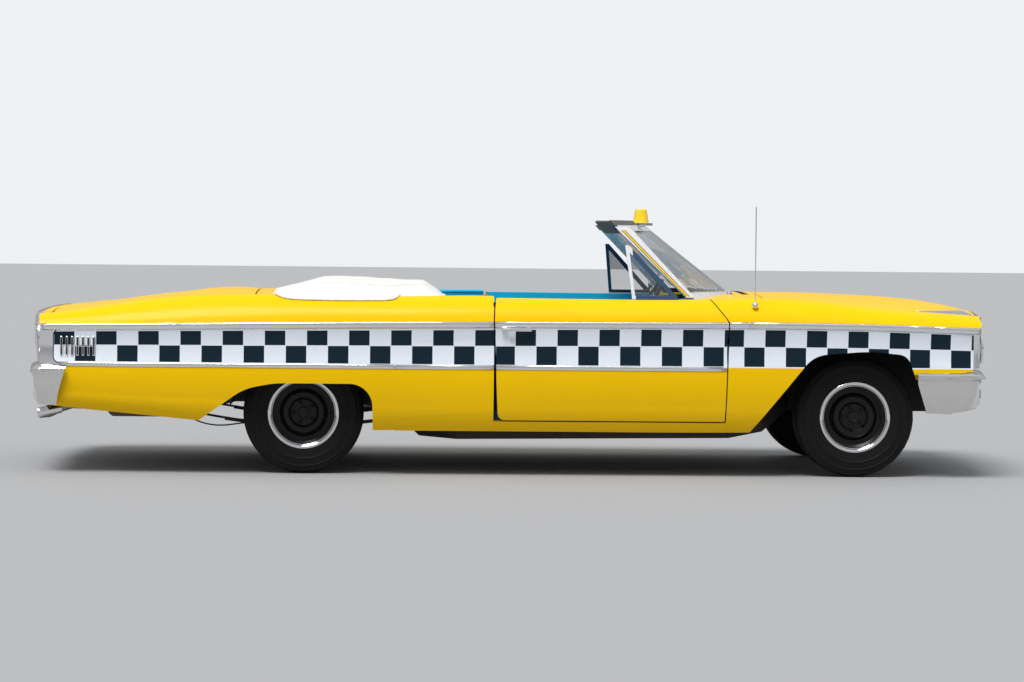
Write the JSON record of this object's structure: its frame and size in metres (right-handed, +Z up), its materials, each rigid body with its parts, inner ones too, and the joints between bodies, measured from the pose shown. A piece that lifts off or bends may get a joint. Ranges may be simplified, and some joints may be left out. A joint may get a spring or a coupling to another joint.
{
  "type": "taxi cab",
  "caption": "Two-door full-size open taxi with chequered side bands, roof beacon, opening doors, hood and trunk, steered front wheels.",
  "frame": {"origin": "on the ground under the middle of the car's overall length and width", "axes": "+X forward, +Y to the car's left, +Z up"},
  "size_m": [5.331, 2.0624, 1.478],
  "materials": {
    "chassis_black": "satin",
    "taxi_yellow": "gloss",
    "interior_turquoise": "satin",
    "grey_metal": "satin",
    "engine_metal": "matte",
    "steel": "brushed",
    "chrome": "polished",
    "silver_frame": "satin",
    "clear_glass": "clear",
    "red_lens": "clear",
    "lamp_glass": "clear",
    "amber_dome": "clear",
    "seat_vinyl": "satin",
    "boot_vinyl": "matte",
    "visor_board": "matte",
    "blue_frame": "satin",
    "wheel_black": "satin",
    "tyre": "matte",
    "cable_rubber": "matte",
    "dark_plastic": "gloss"
  },
  "bodies": {
    "body": {"chassis_frame": "chassis_black", "floor_pan": "chassis_black", "cowl": "taxi_yellow", "front_fenders": "taxi_yellow", "quarter_panels": "taxi_yellow", "rocker_panels": "taxi_yellow", "wheelhouses": "chassis_black", "rear_deck": "taxi_yellow", "tail_panel": "taxi_yellow", "engine_bay": "chassis_black", "radiator_support": "chassis_black", "radiator": "chassis_black", "engine": "engine_metal", "driveline": "steel", "rear_axle": "chassis_black", "leaf_springs": "chassis_black", "exhaust": "steel", "fuel_tank": "grey_metal", "front_suspension": "chassis_black", "front_bumper": "chrome", "rear_bumper": "chrome", "grille": "chrome", "headlamps": "lamp_glass", "tail_lamps": "red_lens", "windshield_frame": "silver_frame", "windshield_glass": "clear_glass", "dashboard": "interior_turquoise", "steering_column": "interior_turquoise", "front_seat": "seat_vinyl", "rear_seat": "seat_vinyl", "boot_cover": "boot_vinyl", "beacon_base": "taxi_yellow", "beacon_dome": "amber_dome", "antenna": "chrome", "sun_visors": "visor_board", "brake_cable": "cable_rubber"},
    "hood": {"hood": "taxi_yellow"},
    "trunk_lid": {"trunk_lid": "taxi_yellow"},
    "door_left": {"door_left": "taxi_yellow", "vent_frame_left": "blue_frame", "vent_glass_left": "clear_glass", "door_handle_left": "chrome", "door_mirror": "chrome"},
    "door_right": {"door_right": "taxi_yellow", "vent_frame_right": "blue_frame", "vent_glass_right": "clear_glass", "door_handle_right": "chrome"},
    "steering_wheel": {"steering_wheel": "dark_plastic"},
    "knuckle_left": {"knuckle_left": "chassis_black"},
    "knuckle_right": {"knuckle_right": "chassis_black"},
    "tie_rod": {"tie_rod": "steel"},
    "wheel_front_left": {"wheel_front_left": "wheel_black", "tyre_front_left": "tyre"},
    "wheel_front_right": {"wheel_front_right": "wheel_black", "tyre_front_right": "tyre"},
    "wheel_rear_left": {"wheel_rear_left": "wheel_black", "tyre_rear_left": "tyre"},
    "wheel_rear_right": {"wheel_rear_right": "wheel_black", "tyre_rear_right": "tyre"}
  },
  "joints": [
    {"name": "hood_hinge", "type": "hinge", "parent": "body", "child": "hood", "pos_m": [1.318, 0, 0.956], "axis": [0, -1, 0], "range_deg": [0, 50]},
    {"name": "trunk_hinge", "type": "hinge", "parent": "body", "child": "trunk_lid", "pos_m": [-1.336, 0, 0.96], "axis": [0, 1, 0], "range_deg": [0, 55]},
    {"name": "door_left_hinge", "type": "hinge", "parent": "body", "child": "door_left", "pos_m": [1.235, 0.965, 0.6], "axis": [0, 0, -1], "range_deg": [0, 65]},
    {"name": "door_right_hinge", "type": "hinge", "parent": "body", "child": "door_right", "pos_m": [1.235, -0.965, 0.6], "axis": [0, 0, 1], "range_deg": [0, 65]},
    {"name": "steer_left", "type": "hinge", "parent": "body", "child": "knuckle_left", "pos_m": [1.8868, 0.676, 0.33], "axis": [0, 0, 1], "range_deg": [-30, 30]},
    {"name": "steer_right", "type": "hinge", "parent": "body", "child": "knuckle_right", "pos_m": [1.8868, -0.676, 0.33], "axis": [0, 0, 1], "range_deg": [-30, 30]},
    {"name": "tie_rod_slide", "type": "slide", "parent": "body", "child": "tie_rod", "axis": [0, 1, 0], "range_m": [-0.075, 0.075]},
    {"name": "steering_wheel_turn", "type": "hinge", "parent": "body", "child": "steering_wheel", "pos_m": [0.83, 0.392, 0.88], "axis": [-0.8696, 0, 0.4937], "range_deg": [-680, 680]},
    {"name": "wheel_front_left_spin", "type": "hinge", "parent": "knuckle_left", "child": "wheel_front_left", "pos_m": [1.8868, 0.7745, 0.33], "axis": [0, 1, 0], "continuous": true},
    {"name": "wheel_front_right_spin", "type": "hinge", "parent": "knuckle_right", "child": "wheel_front_right", "pos_m": [1.8868, -0.7745, 0.33], "axis": [0, 1, 0], "continuous": true},
    {"name": "wheel_rear_left_spin", "type": "hinge", "parent": "body", "child": "wheel_rear_left", "pos_m": [-1.1358, 0.762, 0.33], "axis": [0, 1, 0], "continuous": true},
    {"name": "wheel_rear_right_spin", "type": "hinge", "parent": "body", "child": "wheel_rear_right", "pos_m": [-1.1358, -0.762, 0.33], "axis": [0, 1, 0], "continuous": true}
  ],
  "couplings": [
    {"joint": "steer_right", "follows": "steer_left", "ratio": 1},
    {"joint": "tie_rod_slide", "follows": "steer_left", "m_per_rad": -0.13369},
    {"joint": "steering_wheel_turn", "follows": "steer_left", "ratio": 22}
  ]
}
